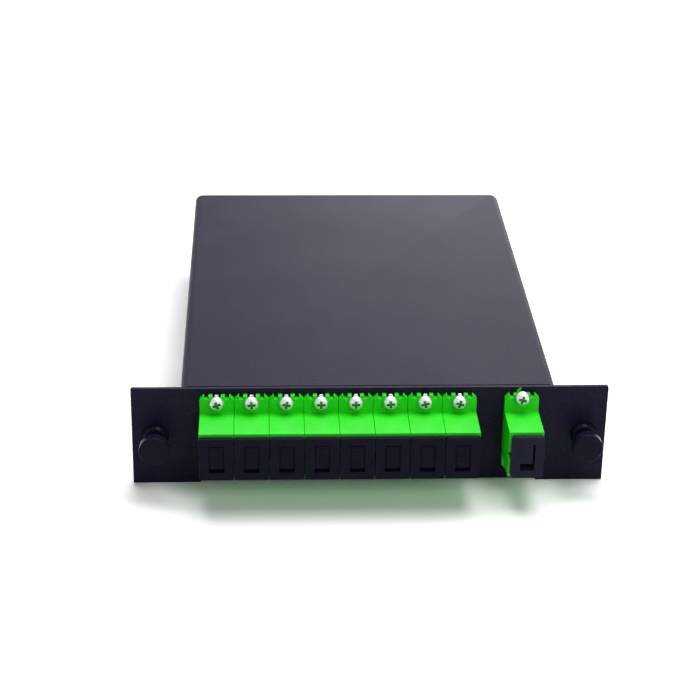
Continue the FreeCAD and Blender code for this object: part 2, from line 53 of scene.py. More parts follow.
panel_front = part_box("base_tray")[0].y

LOOK_DOWN, LOOK_FROM_LEFT, CAMERA_ROLL = (math.radians(a) for a in (25.759, 2.902, 0.988))
CAMERA_DISTANCE = 514.533 * MM
AIM = Vector((-5.841 * MM, panel_front, 40.398 * MM))

towards_camera = Vector((
    -math.sin(LOOK_FROM_LEFT) * math.cos(LOOK_DOWN),
    -math.cos(LOOK_FROM_LEFT) * math.cos(LOOK_DOWN),
    math.sin(LOOK_DOWN)))
level_right = Vector((0, 0, 1)).cross(towards_camera).normalized()
level_up = towards_camera.cross(level_right)
camera_right = level_right * math.cos(CAMERA_ROLL) + level_up * math.sin(CAMERA_ROLL)
camera_up = level_up * math.cos(CAMERA_ROLL) - level_right * math.sin(CAMERA_ROLL)

camera = bpy.data.objects.new("camera", bpy.data.cameras.new("camera"))
scene.collection.objects.link(camera)
camera.location = AIM + towards_camera * CAMERA_DISTANCE
camera.rotation_euler = Matrix((camera_right, camera_up, towards_camera)).transposed().to_euler()
camera.data.sensor_width = 36
camera.data.lens = 98.583
scene.camera = camera


# ---------------------------------------------------------------- base tray
# Mild steel sheet, 1.2 mm: front panel, floor and three low flanges folded from one blank.
# It is powder coated after folding, so the coat rounds every long cut edge a little.

COAT_EDGE = 0.15 * MM
SHARP = math.radians(32)     # an edge that turns by less than this is part of a curve
EDGE_SHARE = 0.3             # an edge is rounded by this share of the shortest one near it, at most


def linear_colour(code):
    """An sRGB hex code as the linear colour that a shader reads."""
    channels = [int(code[i:i + 2], 16) / 255 for i in (1, 3, 5)]
    return [c / 12.92 if c <= 0.04045 else ((c + 0.055) / 1.055) ** 2.4 for c in channels] + [1.0]


def add_node(tree, kind, settings=None, links=None):
    """Adds a node, sets its properties and sockets, and links outputs of other nodes to its sockets."""
    node = tree.nodes.new(kind)
    for name, value in (settings or {}).items():
        if isinstance(name, int) or name in node.inputs:
            node.inputs[name].default_value = value
        else:
            setattr(node, name, value)
    for name, output in (links or {}).items():
        tree.links.new(output, node.inputs[name])
    return node


def new_material(name):
    """An empty node material, its tree, and the coordinates that all patterns start from."""
    material = bpy.data.materials.new(name)
    material.use_nodes = True
    material.node_tree.nodes.clear()
    place = add_node(material.node_tree, "ShaderNodeTexCoord").outputs["Object"]
    return material, material.node_tree, place


def finish_material(tree, shader):
    """Makes a shader the surface of its material."""
    add_node(tree, "ShaderNodeOutputMaterial", links={"Surface": shader.outputs[0]})


def per_metre(size_mm):
    """The scale of a pattern whose features are this many millimetres across."""
    return 1 / (size_mm * MM)


def powder_coated_steel():
    # Black polyester powder with a faint violet cast: satin, and its fine orange peel breaks
    # reflections into soft specks. The peel is drawn at 0.8 mm, about twice its real size, to show.
    material, tree, place = new_material("powder coated steel")
    peel = add_node(tree, "ShaderNodeTexNoise",
                    {"Scale": per_metre(0.8), "Detail": 2.0, "Roughness": 0.55}, {"Vector": place})
    drift = add_node(tree, "ShaderNodeTexNoise", {"Scale": per_metre(25), "Detail": 2.0}, {"Vector": place})
    shade = add_node(tree, "ShaderNodeValToRGB", links={"Fac": peel.outputs["Fac"]})
    shade.color_ramp.elements[0].position = 0.32
    shade.color_ramp.elements[0].color = linear_colour("#120e22")
    shade.color_ramp.elements[1].position = 0.68
    shade.color_ramp.elements[1].color = linear_colour("#1c1631")
    gloss = add_node(tree, "ShaderNodeMapRange", {"To Min": 0.42, "To Max": 0.52},
                     {"Value": drift.outputs["Fac"]})
    waves = add_node(tree, "ShaderNodeBump", {"Strength": 1.0, "Distance": 0.035 * MM},
                     {"Height": peel.outputs["Fac"]})
    coat = add_node(tree, "ShaderNodeBsdfPrincipled", {"IOR": 1.5, "Specular IOR Level": 0.11},
                    {"Base Color": shade.outputs["Color"], "Roughness": gloss.outputs["Result"],
                     "Normal": waves.outputs["Normal"]})
    finish_material(tree, coat)
    return material


def welded_copy(node):
    """A CAD node's shape as a closed mesh of flat faces, without its loose triangles."""
    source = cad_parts[node].data
    shape = bmesh.new()
    corners = [shape.verts.new(v.co) for v in source.vertices]
    for face in source.polygons:
        shape.faces.new([corners[i] for i in face.vertices])
    bmesh.ops.remove_doubles(shape, verts=shape.verts, dist=0.002 * MM)
    bmesh.ops.dissolve_limit(shape, angle_limit=math.radians(1), verts=shape.verts, edges=shape.edges)
    return shape


def finished_piece(name, mesh, material, body):
    """A mesh as a piece of the object, with its finish and its body."""
    mesh.name = name
    mesh.materials.clear()
    mesh.materials.append(material)
    piece = bpy.data.objects.new(name, mesh)
    scene.collection.objects.link(piece)
    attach(piece, body)
    return piece


def eased_piece(name, shape, edge, material, body, least=0.0, steps=2):
    """Rounds a shape's sharp edges: with a least length, those above it in full and no others,
    and without one, all of them, but less where an edge near them is short."""
    weight = shape.edges.layers.float.new("bevel_weight_edge")
    for line in shape.edges:
        if line.calc_face_angle(0) < SHARP:
            continue
        shortest = min(near.calc_length() for end in line.verts for near in end.link_edges)
        if line.calc_length() > least:
            line[weight] = 1.0 if least else min(1.0, EDGE_SHARE * shortest / edge)
        line.smooth = line[weight] > 0
    mesh = bpy.data.meshes.new(name)
    for face in shape.faces:
        face.smooth = True
    shape.to_mesh(mesh)
    shape.free()
    rough_piece = bpy.data.objects.new(name + "_sharp", mesh)
    scene.collection.objects.link(rough_piece)
    bevel = rough_piece.modifiers.new("eased edges", "BEVEL")
    bevel.width = edge
    bevel.segments = steps
    bevel.limit_method = "WEIGHT"
    bevel.use_clamp_overlap = False
    bevel.harden_normals = True
    bpy.context.view_layer.update()
    evaluated = rough_piece.evaluated_get(bpy.context.evaluated_depsgraph_get())
    finished = bpy.data.meshes.new_from_object(evaluated)
    bpy.data.objects.remove(rough_piece)
    return finished_piece(name, finished, material, body)


coat_material = powder_coated_steel()
tray = eased_piece("tray", welded_copy("base_tray"), COAT_EDGE, coat_material, "case",
                   least=2 * MM)
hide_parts("base_tray")


# ---------------------------------------------------------------- top cover
# The same sheet and coat: top, sides and back in one formed hood that drops over the tray.
# Its long edges are bent round a 2 mm radius, and its back corners are drawn.

cover = eased_piece("cover", welded_copy("top_cover"), COAT_EDGE, coat_material, "case",
                    least=0.5 * MM)
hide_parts("top_cover")


# ---------------------------------------------------------------- adapters
# Nine one-piece ABS housings, moulded in the green that marks an angled ferrule.
# Each has a notched flange that two screws clamp to the panel, and a key slot in its left wall.

ADAPTER_EDGE = 0.12 * MM
ports = [str(i + 1) for i in range(8)] + ["input"]


def moulded_plastic(name, low, high, flow_mm, skin_mm, depth_mm, gloss_low, gloss_high, shine, level=0.5):
    """A moulding: a faint cloud where the melt flowed, and the fine skin that the tool leaves.
    The cloud, the skin and its depth are in millimetres. The skin is drawn coarser than it is, to show."""
    material, tree, place = new_material(name)
    flow = add_node(tree, "ShaderNodeTexNoise", {"Scale": per_metre(flow_mm), "Detail": 2.0},
                    {"Vector": place})
    skin = add_node(tree, "ShaderNodeTexNoise", {"Scale": per_metre(skin_mm), "Detail": 1.0},
                    {"Vector": place})
    shade = add_node(tree, "ShaderNodeValToRGB", links={"Fac": flow.outputs["Fac"]})
    shade.color_ramp.elements[0].position = 0.3
    shade.color_ramp.elements[0].color = linear_colour(low)
    shade.color_ramp.elements[1].position = 0.7
    shade.color_ramp.elements[1].color = linear_colour(high)
    gloss = add_node(tree, "ShaderNodeMapRange", {"To Min": gloss_low, "To Max": gloss_high},
                     {"Value": skin.outputs["Fac"]})
    relief = add_node(tree, "ShaderNodeBump", {"Strength": 1.0, "Distance": depth_mm * MM},
                      {"Height": skin.outputs["Fac"]})
    plastic = add_node(tree, "ShaderNodeBsdfPrincipled", {"IOR": shine, "Specular IOR Level": level},
                       {"Base Color": shade.outputs["Color"], "Roughness": gloss.outputs["Result"],
                        "Normal": relief.outputs["Normal"]})
    finish_material(tree, plastic)
    return material


# Moulded ABS: an even bright green, satin, with a soft wide highlight on its flat tops.
green_material = moulded_plastic("moulded green ABS", "#1cd20a", "#22dc10", 5, 0.25, 0.003,
                                 0.38, 0.46, 1.54, 0.4)
for port in ports:
    node = "adapter_" + port
    adapter = eased_piece("housing_" + port, welded_copy(node), ADAPTER_EDGE, green_material,
                          "case")
    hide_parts(node)

# A sliver of flash has been left on the input port's flange, and stands up against the panel.
# Its outline is in millimetres across from the port's middle and up from the table.
FLASH = [(-1.45, 27.6), (-1.15, 28.3), (-0.55, 28.78), (-0.1, 28.82), (-0.3, 28.3), (-0.5, 27.7)]
FLASH_FRONT = 0.45 * MM      # from the panel to its front
FLASH_THICKNESS = 0.4 * MM
THIN_EDGE = 0.1 * MM


def add_plate(shape, outline, thickness):
    """Adds a closed plate to a shape: a flat outline, thickened towards the panel."""
    front = [shape.verts.new((x, y, z)) for x, y, z in outline]
    back = [shape.verts.new((x, y + thickness, z)) for x, y, z in outline]
    shape.faces.new(front)
    shape.faces.new(back[::-1])
    for k in range(len(outline)):
        shape.faces.new((front[k - 1], back[k - 1], back[k], front[k]))


sliver = bmesh.new()
middle = sum(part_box("adapter_input"), Vector()) / 2
add_plate(sliver, [(middle.x + across * MM, panel_front - FLASH_FRONT, up * MM) for across, up in FLASH],
          FLASH_THICKNESS)
bmesh.ops.recalc_face_normals(sliver, faces=sliver.faces)
eased_piece("flash_sliver", sliver, THIN_EDGE, green_material, "case")


# ---------------------------------------------------------------- screws
# Pan-head machine screws with a cross recess, turned from steel and bright zinc plated.
# Eighteen hold the adapters' flanges to the panel and two larger ones hold the cover to the tray.

# The small screw in millimetres; the outline of its head is (radius, distance from its seat).
HEAD_RADIUS = 1.95
HEAD_HEIGHT = 1.6
PAN_HEAD = [(0, -HEAD_HEIGHT), (1.2, -1.58), (1.48, -1.48), (1.7, -1.28), (1.85, -1.0), (1.94, -0.6),
            (1.94, -0.2), (1.86, 0)]
SHANK_RADIUS = 0.95
CORE_RADIUS = 0.76
POINT_RADIUS = 0.5
THREAD_DEPTH = 0.19
THREAD_PITCH = 0.45
NECK = 0.2                                 # from the seat to where the thread's core begins
POINT_LENGTH = 0.3 * MM
THREAD_STOP = 0.4 * MM                     # from the end of the thread to the screw's end
RECESS_SIZE = (2.2, 0.7, 0.75)             # length, width and depth of the cross
FLANGE_HEAD_GIRTH = 1.06                   # the flange screws' heads are a little wider than drawn
INPUT_RISE = 1.1 * MM                      # the input port's upper screw sits higher in its slot
COVER_SCREW_SCALE = 2.75 / HEAD_RADIUS
COVER_SCREW_LENGTH = 5 * MM
UPPER_TURNS = (20, 5, -10, 0, 0, 5, 15, -15, -15)      # degrees that each recess is turned by
LOWER_TURNS = (35, -20, 10, 40, 0, 25, -35, 15, -5)
LEFT_TURN, RIGHT_TURN = 0.5, -0.2          # the cover screws' recesses, in radians


def turned_shape(outline, x=0.0, y=0.0, z=0.0, sides=96, first=0.0, last=360.0):
    """A bar turned about an axis along Y through (x, z), or a part of its turn; outline is (radius, y)."""
    shape = bmesh.new()
    whole = last - first >= 360
    angles = [math.radians(first + (last - first) * k / sides) for k in range(sides if whole else sides + 1)]
    rings = []
    for radius, along in outline:
        if radius == 0:
            rings.append([shape.verts.new((x, y + along, z))] * len(angles))
        else:
            rings.append([shape.verts.new((x + radius * math.cos(a), y + along, z + radius * math.sin(a)))
                          for a in angles])
    for here, there in zip(rings, rings[1:] + rings[:1]):
        for k in range(sides):
            after = (k + 1) % len(angles)
            corners = list(dict.fromkeys((here[k], here[after], there[after], there[k])))
            if len(corners) > 2:
                shape.faces.new(corners)
    if not whole:
        shape.faces.new([ring[0] for ring in rings])
        shape.faces.new([ring[-1] for ring in rings])
    bmesh.ops.recalc_face_normals(shape, faces=shape.faces)
    return shape


def zinc_plate():
    # Bright zinc: silvery with a cool cast, and a plating grain that softens its reflections. The
    # grain is drawn at 0.3 mm, far coarser than it is. The recess is painted a darker, duller grey:
    # painted shade in the hollow, and its thinner plating.
    material, tree, place = new_material("bright zinc plate")
    grain = add_node(tree, "ShaderNodeTexNoise", {"Scale": per_metre(0.3), "Detail": 2.0}, {"Vector": place})
    shade = add_node(tree, "ShaderNodeValToRGB", links={"Fac": grain.outputs["Fac"]})
    shade.color_ramp.elements[0].color = linear_colour("#bfc3c6")
    shade.color_ramp.elements[1].color = linear_colour("#dcdedf")
    gloss = add_node(tree, "ShaderNodeMapRange", {"To Min": 0.3, "To Max": 0.44},
                     {"Value": grain.outputs["Fac"]})
    # The faces of the cross recess get a dull dark grey: painted shade in the hollow.
    painted_recess_shade_mask = add_node(tree, "ShaderNodeAttribute", {"attribute_name": "recess"})
    tone = add_node(tree, "ShaderNodeMix", {"data_type": "RGBA", 7: linear_colour("#6e7472")},
                    {0: painted_recess_shade_mask.outputs["Fac"], 6: shade.outputs["Color"]})
    metal = add_node(tree, "ShaderNodeBsdfPrincipled", {"Metallic": 1.0},
                     {"Base Color": tone.outputs[2], "Roughness": gloss.outputs["Result"]})
    finish_material(tree, metal)
    return material


def geometry_tree(name, inputs):
    """A Geometry Nodes tree with a geometry input, the named inputs, and a geometry output."""
    tree = bpy.data.node_groups.new(name, "GeometryNodeTree")
    tree.interface.new_socket("Geometry", in_out="INPUT", socket_type="NodeSocketGeometry")
    for label, kind in inputs:
        tree.interface.new_socket(label, in_out="INPUT", socket_type=kind)
    tree.interface.new_socket("Geometry", in_out="OUTPUT", socket_type="NodeSocketGeometry")
    return tree, add_node(tree, "NodeGroupInput").outputs


def grown_mesh(name, seed, tree, values):
    """Runs a Geometry Nodes tree on a seed mesh and returns the result as a plain mesh."""
    holder = bpy.data.objects.new(name + "_seed", seed)
    scene.collection.objects.link(holder)
    grower = holder.modifiers.new(name, "NODES")
    grower.node_group = tree
    for socket in tree.interface.items_tree:
        if socket.in_out == "INPUT" and socket.name in values:
            grower[socket.identifier] = values[socket.name]
    bpy.context.view_layer.update()
    mesh = bpy.data.meshes.new_from_object(holder.evaluated_get(bpy.context.evaluated_depsgraph_get()))
    bpy.data.objects.remove(holder)
    shape = bmesh.new()
    shape.from_mesh(mesh)
    bmesh.ops.recalc_face_normals(shape, faces=shape.faces)
    shape.to_mesh(mesh)
    shape.free()
    return mesh


def screw_tree():
    """Cuts the cross recess into a blank, winds the thread, and sets a screw on every seat point."""
    tree, given = geometry_tree("cross-recess screws", [
        ("Blank", "NodeSocketObject"), ("Recess Length", "NodeSocketFloat"),
        ("Recess Width", "NodeSocketFloat"), ("Recess Depth", "NodeSocketFloat"),
        ("Head Height", "NodeSocketFloat"), ("Core Radius", "NodeSocketFloat"),
        ("Thread Depth", "NodeSocketFloat"), ("Thread Length", "NodeSocketFloat"),
        ("Thread Turns", "NodeSocketFloat"), ("Material", "NodeSocketMaterial")])
    blank = add_node(tree, "GeometryNodeObjectInfo", links={"Object": given["Blank"]})
    deep = add_node(tree, "ShaderNodeMath", {"operation": "MULTIPLY", 1: 2.0}, {0: given["Recess Depth"]})
    across = add_node(tree, "ShaderNodeCombineXYZ",
                      links={0: given["Recess Length"], 1: deep.outputs[0], 2: given["Recess Width"]})
    upright = add_node(tree, "ShaderNodeCombineXYZ",
                       links={0: given["Recess Width"], 1: deep.outputs[0], 2: given["Recess Length"]})
    blades = add_node(tree, "GeometryNodeJoinGeometry")
    for size in (across, upright):
        blade = add_node(tree, "GeometryNodeMeshCube", links={"Size": size.outputs[0]})
        tree.links.new(blade.outputs["Mesh"], blades.inputs[0])
    # Marks the faces of the recess, which the zinc darkens as painted shade.
    blades = add_node(tree, "GeometryNodeStoreNamedAttribute",
                      {"data_type": "FLOAT", "domain": "FACE", "Name": "recess", "Value": 1.0},
                      {"Geometry": blades.outputs[0]})
    face = add_node(tree, "ShaderNodeMath", {"operation": "MULTIPLY", 1: -1.0}, {0: given["Head Height"]})
    face = add_node(tree, "ShaderNodeCombineXYZ", links={1: face.outputs[0]})
    blades = add_node(tree, "GeometryNodeTransform",
                      links={"Geometry": blades.outputs[0], "Translation": face.outputs[0]})
    cut = add_node(tree, "GeometryNodeMeshBoolean",
                   {"operation": "DIFFERENCE", "solver": "EXACT", "Self Intersection": True},
                   {"Mesh 1": blank.outputs["Geometry"], "Mesh 2": blades.outputs[0]})
    helix = add_node(tree, "GeometryNodeCurveSpiral", {"Resolution": 20},
                     {"Rotations": given["Thread Turns"], "Start Radius": given["Core Radius"],
                      "End Radius": given["Core Radius"], "Height": given["Thread Length"]})
    ridge = add_node(tree, "GeometryNodeCurvePrimitiveCircle", {"Resolution": 3},
                     {"Radius": given["Thread Depth"]})
    thread = add_node(tree, "GeometryNodeCurveToMesh", {"Fill Caps": True},
                      {"Curve": helix.outputs[0], "Profile Curve": ridge.outputs[0]})
    laid = add_node(tree, "GeometryNodeTransform", {"Rotation": (-math.pi / 2, 0, 0)},
                    {"Geometry": thread.outputs[0]})
    screw = add_node(tree, "GeometryNodeJoinGeometry")
    tree.links.new(cut.outputs["Mesh"], screw.inputs[0])
    tree.links.new(laid.outputs[0], screw.inputs[0])
    turn = add_node(tree, "GeometryNodeInputNamedAttribute", {"data_type": "FLOAT_VECTOR", "Name": "turn"})
    turned = add_node(tree, "FunctionNodeEulerToRotation", links={0: turn.outputs["Attribute"]})
    seats = add_node(tree, "GeometryNodeMeshToPoints", links={"Mesh": given["Geometry"]})
    placed = add_node(tree, "GeometryNodeInstanceOnPoints",
                      links={"Points": seats.outputs[0], "Instance": screw.outputs[0],
                             "Rotation": turned.outputs[0]})
    real = add_node(tree, "GeometryNodeRealizeInstances", links={"Geometry": placed.outputs[0]})
    dressed = add_node(tree, "GeometryNodeSetMaterial",
                       links={"Geometry": real.outputs[0], "Material": given["Material"]})
    add_node(tree, "NodeGroupOutput", links={0: dressed.outputs[0]})
    return tree


def screw_set(name, seats, scale, length, cad_node, girth=1.0):
    """Screws on (place, turn) seats: the small screw's outline times scale, with its own length.
    Girth makes the head wider than drawn."""
    unit = scale * MM
    outline = [(r * girth * unit, y * unit) for r, y in PAN_HEAD]
    outline += [(SHANK_RADIUS * unit, 0), (CORE_RADIUS * unit, NECK * unit),
                (CORE_RADIUS * unit, length - POINT_LENGTH), (POINT_RADIUS * unit, length), (0, length)]
    blank_shape = turned_shape(outline, sides=48)
    blank_mesh = bpy.data.meshes.new(name + "_blank")
    blank_shape.to_mesh(blank_mesh)
    blank_shape.free()
    blank = bpy.data.objects.new(name + "_blank", blank_mesh)
    seed = bpy.data.meshes.new(name + "_seats")
    seed.from_pydata([place for place, turn in seats], [], [])
    turns = seed.attributes.new("turn", "FLOAT_VECTOR", "POINT")
    for i, (place, turn) in enumerate(seats):
        turns.data[i].vector = turn
    recess_length, recess_width, recess_depth = (size * unit for size in RECESS_SIZE)
    thread_length = length - THREAD_STOP
    mesh = grown_mesh(name, seed, cross_recess, {
        "Blank": blank, "Recess Length": recess_length, "Recess Width": recess_width,
        "Recess Depth": recess_depth, "Head Height": HEAD_HEIGHT * unit,
        "Core Radius": CORE_RADIUS * unit, "Thread Depth": THREAD_DEPTH * unit,
        "Thread Length": thread_length, "Thread Turns": thread_length / (THREAD_PITCH * unit),
        "Material": zinc_material})
    bpy.data.objects.remove(blank)
    mesh.shade_smooth()
    mesh.set_sharp_from_angle(angle=SHARP)
    piece = finished_piece(name, mesh, zinc_material, "case")
    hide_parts(cad_node)


zinc_material = zinc_plate()
cross_recess = screw_tree()
low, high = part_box("adapter_screws")
flange_face = low.y + HEAD_HEIGHT * MM
small_screws = []
for port, upper, lower in zip(ports, UPPER_TURNS, LOWER_TURNS):
    x = (sum(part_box("adapter_" + port), Vector()) / 2).x
    top = high.z - HEAD_RADIUS * MM - (0 if port == "input" else INPUT_RISE)
    foot = low.z + HEAD_RADIUS * MM
    small_screws.append(((x, flange_face, top), (0, -math.radians(upper), 0)))
    small_screws.append(((x, flange_face, foot), (0, -math.radians(lower), 0)))
screw_set("flange_screws", small_screws, 1.0, high.y - flange_face, "adapter_screws", FLANGE_HEAD_GIRTH)

# A bent tab of bright zinc stands up in the notch above each output port's upper head. It is made as
# the tab of a lock washer whose ring the head would hide; the ring itself isn't made.
# Its outline is in millimetres across and up from the screw's axis.
TAB = [(-0.65, 1.5), (-0.62, 2.1), (-0.4, 2.36), (0.35, 2.4), (0.58, 2.14), (0.65, 1.5)]
TAB_SINK = 0.02 * MM
TAB_THICKNESS = 0.45 * MM
tabs = bmesh.new()
for (x, y, z), turn in small_screws[:16:2]:
    add_plate(tabs, [(x + across * MM, y + TAB_SINK, z + up * MM) for across, up in TAB], TAB_THICKNESS)
bmesh.ops.recalc_face_normals(tabs, faces=tabs.faces)
eased_piece("washer_tabs", tabs, THIN_EDGE, zinc_material, "case")

low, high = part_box("cover_screws")
middle = (low + high) / 2
head_height = HEAD_HEIGHT * COVER_SCREW_SCALE * MM
screw_set("side_screws", [
    ((low.x + head_height, middle.y, middle.z), (0, LEFT_TURN, -math.pi / 2)),
    ((high.x - head_height, middle.y, middle.z), (0, RIGHT_TURN, math.pi / 2))],
    COVER_SCREW_SCALE, COVER_SCREW_LENGTH, "cover_screws")


# ---------------------------------------------------------------- dust caps
# A black polyethylene plug in every port, moulded in one piece with its flat head.
# The eight output caps carry a row of grip ribs on the plate in their dish. The input cap's plate is
# plain and nearly flush, and leaves a slot at its right and at its foot.

CAP_EDGE = 0.1 * MM
CAP_HEAD_SIDE = 4.0 * MM
CAP_HEAD_DEPTH = 1.45 * MM
CAP_HEAD_SWELL = 0.07 * MM   # the heads are a little fuller than drawn, and nearly touch each other
RIB_COUNT = 6
RIB_PITCH = 1.08 * MM
RIB_LENGTH = 2.3 * MM
RIB_RADIUS = 0.25 * MM
RIB_SINK = 0.26 * MM         # from the head's face to the ribs' axes
RIB_RAISE = 0.42 * MM        # from the head's middle up to the middle of the row
DISH_SIDE = 1.95 * MM        # half the width of the input cap's dish
DISH_END = 3.95 * MM         # and half its height
DISH_DEPTH = 3.6 * MM
PLATE_DROP = 0.12 * MM
PLATE_SIDE_SLOT = 0.55 * MM
PLATE_FOOT_SLOT = 2.0 * MM
PLATE_ROOT = 0.15 * MM       # how far the plate runs into the dish's walls and floor


def add_block(shape, low, high):
    """Adds a closed block between two corners to a shape."""
    for corner in bmesh.ops.create_cube(shape, size=1)["verts"]:
        corner.co = [low[i] if corner.co[i] < 0 else high[i] for i in range(3)]


def rib_tree():
    """Lays a column of short half-round ribs on a moulding and joins them to it."""
    tree, given = geometry_tree("grip ribs", [
        ("Lowest", "NodeSocketVector"), ("Count", "NodeSocketInt"), ("Pitch", "NodeSocketFloat"),
        ("Length", "NodeSocketFloat"), ("Radius", "NodeSocketFloat"), ("Material", "NodeSocketMaterial")])
    step = add_node(tree, "ShaderNodeCombineXYZ", links={2: given["Pitch"]})
    column = add_node(tree, "GeometryNodeMeshLine",
                      links={"Count": given["Count"], "Start Location": given["Lowest"],
                             "Offset": step.outputs[0]})
    half = add_node(tree, "ShaderNodeMath", {"operation": "MULTIPLY", 1: 0.5}, {0: given["Length"]})
    back = add_node(tree, "ShaderNodeMath", {"operation": "MULTIPLY", 1: -0.5}, {0: given["Length"]})
    left = add_node(tree, "ShaderNodeCombineXYZ", links={0: back.outputs[0]})
    right = add_node(tree, "ShaderNodeCombineXYZ", links={0: half.outputs[0]})
    line = add_node(tree, "GeometryNodeCurvePrimitiveLine",
                    links={"Start": left.outputs[0], "End": right.outputs[0]})
    bar = add_node(tree, "GeometryNodeCurvePrimitiveCircle", {"Resolution": 16}, {"Radius": given["Radius"]})
    rib = add_node(tree, "GeometryNodeCurveToMesh", {"Fill Caps": True},
                   {"Curve": line.outputs[0], "Profile Curve": bar.outputs[0]})
    placed = add_node(tree, "GeometryNodeInstanceOnPoints",
                      links={"Points": column.outputs[0], "Instance": rib.outputs[0]})
    both = add_node(tree, "GeometryNodeJoinGeometry", links={0: placed.outputs[0]})
    tree.links.new(given["Geometry"], both.inputs[0])
    real = add_node(tree, "GeometryNodeRealizeInstances", links={"Geometry": both.outputs[0]})
    dressed = add_node(tree, "GeometryNodeSetMaterial",
                       links={"Geometry": real.outputs[0], "Material": given["Material"]})
    add_node(tree, "NodeGroupOutput", links={0: dressed.outputs[0]})
    return tree


# Moulded polyethylene: near black with a blue cast, waxy rather than glossy, and finely sparked.
cap_material = moulded_plastic("moulded black polyethylene", "#151323", "#191728", 4, 0.3, 0.006,
                               0.46, 0.56, 1.51, 0.05)
# The input cap is the same black polyethylene, painted greyer and lighter: painted light, for the brighter
# light that falls on it.
lit_input_cap_material = moulded_plastic("black polyethylene painted lighter", "#262435", "#2c2a3c", 4, 0.3, 0.006,
                                     0.46, 0.56, 1.51, 0.05)
grip_ribs = rib_tree()
for port in ports:
    node = "dust_cap_" + port
    shape = welded_copy(node)
    low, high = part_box(node)
    middle = (low + high) / 2
    if port == "input":
        # The input cap's lighter plastic is painted light.
        plastic = lit_input_cap_material
        add_block(shape,
                  (middle.x - DISH_SIDE - PLATE_ROOT, low.y + PLATE_DROP,
                   middle.z - DISH_END + PLATE_FOOT_SLOT),
                  (middle.x + DISH_SIDE - PLATE_SIDE_SLOT, low.y + DISH_DEPTH + PLATE_ROOT,
                   middle.z + DISH_END + PLATE_ROOT))
    else:
        plastic = cap_material
        for corner in shape.verts:
            if abs(corner.co.x - middle.x) > CAP_HEAD_SIDE and corner.co.y < low.y + CAP_HEAD_DEPTH:
                corner.co.x += math.copysign(CAP_HEAD_SWELL, corner.co.x - middle.x)
    cap = eased_piece("cap_moulding_" + port, shape, CAP_EDGE, plastic, "cap_" + port)
    if port != "input":
        lowest = middle.z + RIB_RAISE - (RIB_COUNT - 1) / 2 * RIB_PITCH
        cap.data = grown_mesh("ribbed_cap_" + port, cap.data, grip_ribs, {
            "Lowest": (middle.x, low.y + RIB_SINK, lowest), "Count": RIB_COUNT, "Pitch": RIB_PITCH,
            "Length": RIB_LENGTH, "Radius": RIB_RADIUS, "Material": plastic})
    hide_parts(node)


# ---------------------------------------------------------------- latches
# Push rivets of black nylon, moulded and tumbled: a collar with two spring legs through the panel,
# and a knob whose stem spreads them. They are shown pulled out, unlocked.

LATCH_EDGE = 0.3 * MM

# Moulded nylon: black and smooth, so only its rounded edges catch the light, as thin bright arcs.
nylon_material = moulded_plastic("black nylon", "#141526", "#171829", 3, 0.8, 0.002, 0.15, 0.22, 1.53, 0.05)


def rounded(outline, edge, steps=4):
    """Rounds the marked corners of a (radius, y, mark) outline."""
    path = []
    for i, (radius, along, mark) in enumerate(outline):
        corner = Vector((radius, along))
        if not mark:
            path.append((radius, along))
            continue
        before, after = (Vector(outline[j % len(outline)][:2]) for j in (i - 1, i + 1))
        start = corner + (before - corner).normalized() * edge
        end = corner + (after - corner).normalized() * edge
        for k in range(steps + 1):
            s = k / steps
            point = start * (1 - s) ** 2 + corner * 2 * s * (1 - s) + end * s ** 2
            path.append((point.x, point.y))
    return path


def turned_piece(name, outlines, x, z, body):
    """Joins turned shapes of (outline, first angle, last angle) into one nylon piece."""
    whole = bmesh.new()
    for outline, first, last in outlines:
        part = turned_shape(rounded([(r * MM, y * MM, mark) for r, y, mark in outline], LATCH_EDGE),
                            x, panel_front, z, first=first, last=last)
        loose = bpy.data.meshes.new(name)
        part.to_mesh(loose)
        part.free()
        whole.from_mesh(loose)
        bpy.data.meshes.remove(loose)
    mesh = bpy.data.meshes.new(name)
    whole.to_mesh(mesh)
    whole.free()
    mesh.shade_smooth()
    mesh.set_sharp_from_angle(angle=SHARP)
    return finished_piece(name, mesh, nylon_material, body)


# Outlines in millimetres: radius, distance behind the panel's front, and 1 where the corner is rounded.
KNOB = [(0, -9.0, 0), (4.1, -9.0, 1), (4.1, -6.0, 1), (2.5, -6.0, 0), (2.5, -5.94, 0),
        (1.9, -5.94, 0), (1.9, 6.5, 1), (0, 6.5, 0)]
COLLAR = [(1.95, -1.9, 0), (3.0, -1.9, 1), (3.65, -0.7, 1), (3.65, 0, 0), (2.8, 0, 0), (2.8, 1.25, 0),
          (1.95, 1.25, 0)]
LEG = [(1.95, 1.2, 0), (2.6, 1.2, 0), (2.6, 7.3, 1), (2.0, 8.5, 0), (1.95, 8.5, 0)]
for side in ("left", "right"):
    low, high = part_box("latch_plunger_" + side)
    x, z = (low.x + high.x) / 2, (low.z + high.z) / 2
    plunger = turned_piece("knob_" + side, [(KNOB, 0, 360)], x, z, "plunger_" + side)
    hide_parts("latch_plunger_" + side)
    grommet = turned_piece("collar_" + side, [(COLLAR, 0, 360), (LEG, -80, 80), (LEG, 100, 260)],
                           x, z, "case")
    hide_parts("latch_grommet_" + side)


# ---------------------------------------------------------------- inside the case
# Sealed under the cover: plugs, sleeves and boots behind the ports, and the splitter module.
# Each keeps its construction shape and gets the finish of its real material.

def dress(names, material):
    """Gives CAD nodes their material."""
    for name in names:
        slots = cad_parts[name].data.materials
        slots.clear()
        slots.append(material)


